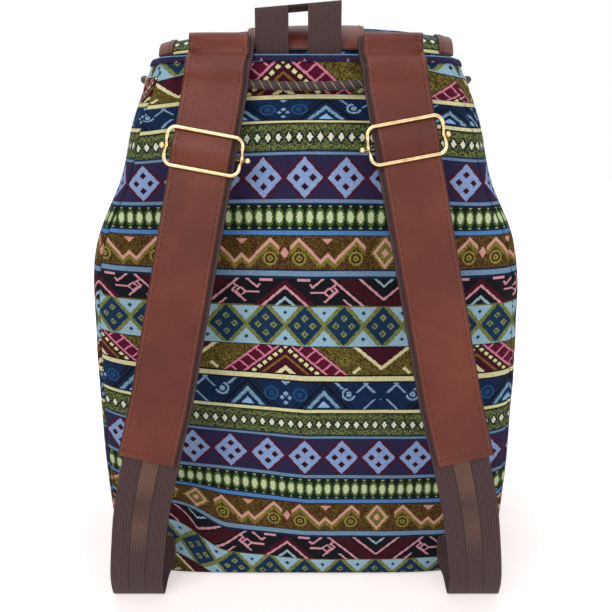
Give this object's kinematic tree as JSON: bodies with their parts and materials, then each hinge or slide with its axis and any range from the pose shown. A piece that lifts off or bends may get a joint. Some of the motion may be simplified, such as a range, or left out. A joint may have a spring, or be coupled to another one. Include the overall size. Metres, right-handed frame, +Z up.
{
  "type": "backpack",
  "caption": "Canvas drawstring backpack with a flap, leather-faced shoulder straps, webbing haul loop and sliding wire strap adjusters.",
  "frame": {"origin": "middle of the base panel's underside, on the floor", "axes": "+Z up; -Y towards the wearer's side, which carries the shoulder straps; +X to the right seen from that side"},
  "size_m": [0.328, 0.2017, 0.4258],
  "materials": {
    "canvas": "woven",
    "leather": "satin",
    "webbing": "ribbed",
    "cord": "twisted",
    "gilt": "polished"
  },
  "bodies": {
    "bag": {"base_panel": "canvas", "back_panel": "canvas", "front_panel": "canvas", "hem": "canvas", "drawstring": "cord", "knot_left": "cord", "knot_right": "cord", "flap": "canvas", "flap_binding": "leather", "flap_centre_leather": "leather", "snap_stud": "gilt", "snap_socket": "gilt", "handle": "webbing", "strap_left_webbing": "webbing", "strap_left_leather": "leather", "strap_right_webbing": "webbing", "strap_right_leather": "leather", "eyelet_back_left": "gilt", "eyelet_back_right": "gilt", "eyelet_side_left": "gilt", "eyelet_side_right": "gilt", "eyelet_front_outer_left": "gilt", "eyelet_front_outer_right": "gilt", "eyelet_front_inner_left": "gilt", "eyelet_front_inner_right": "gilt"},
    "slider_left": {"slider_left_frame": "gilt", "slider_left_bar": "gilt"},
    "slider_right": {"slider_right_frame": "gilt", "slider_right_bar": "gilt"}
  },
  "joints": [
    {"name": "slider_left_slide", "type": "slide", "parent": "bag", "child": "slider_left", "axis": [-0.1813, -0.1798, -0.9668], "range_m": [-0.026, 0.145]},
    {"name": "slider_right_slide", "type": "slide", "parent": "bag", "child": "slider_right", "axis": [0.1813, -0.1798, -0.9668], "range_m": [-0.019, 0.152]}
  ]
}
